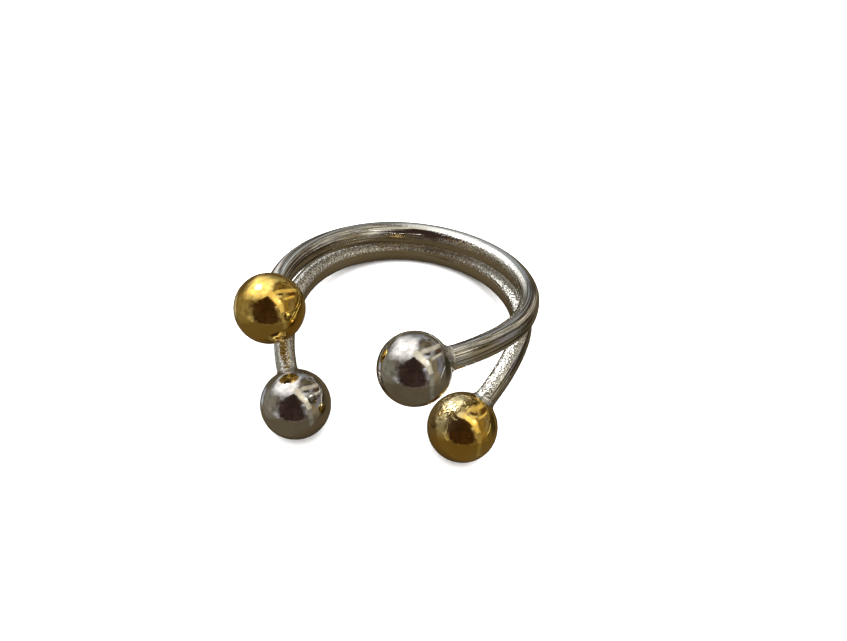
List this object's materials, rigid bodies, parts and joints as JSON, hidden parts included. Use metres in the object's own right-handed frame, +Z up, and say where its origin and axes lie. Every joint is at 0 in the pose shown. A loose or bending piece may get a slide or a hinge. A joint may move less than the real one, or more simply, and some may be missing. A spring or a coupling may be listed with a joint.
{
  "type": "open finger ring",
  "caption": "Open finger ring: silver wire bands joined round the back part towards the front and end in polished gold and silver balls.",
  "frame": {"origin": "centre of the bottom of the ring's box, on the surface that the ring rests on", "axes": "+Z up from that surface; -Y to the front, where the balls are; +X to the right seen from the front. The finger axis leans back from +Z by 16.2 degrees about X."},
  "size_m": [0.024, 0.023, 0.0126],
  "materials": {
    "band_silver": "polished, with fine lengthwise draw lines; pitted on the inner faces of the lower band",
    "silver_ball": "mirror polished",
    "gold_ball": "mirror polished, gold coloured",
    "solder": "satin, flowed"
  },
  "bodies": {
    "bands_and_right_balls": {"upper_band": "band_silver", "lower_band": "band_silver", "band_solder_seam": "solder", "upper_front_silver_ball": "silver_ball", "lower_right_gold_ball": "gold_ball", "upper_front_solder_fillet": "solder", "lower_right_solder_fillet": "solder"},
    "left_balls": {"upper_left_gold_ball": "gold_ball", "lower_left_silver_ball": "silver_ball", "upper_left_solder_fillet": "solder", "lower_left_solder_fillet": "solder"}
  },
  "joints": [
    {"name": "spring_open", "type": "hinge", "parent": "bands_and_right_balls", "child": "left_balls", "pos_m": [-0.00103, 0.01024, 0.00215], "axis": [0, -0.2786, -0.9604], "range_deg": [-6, 6], "stiffness_Nm_per_rad": 2.4, "deforming": ["upper_band", "lower_band"]}
  ]
}
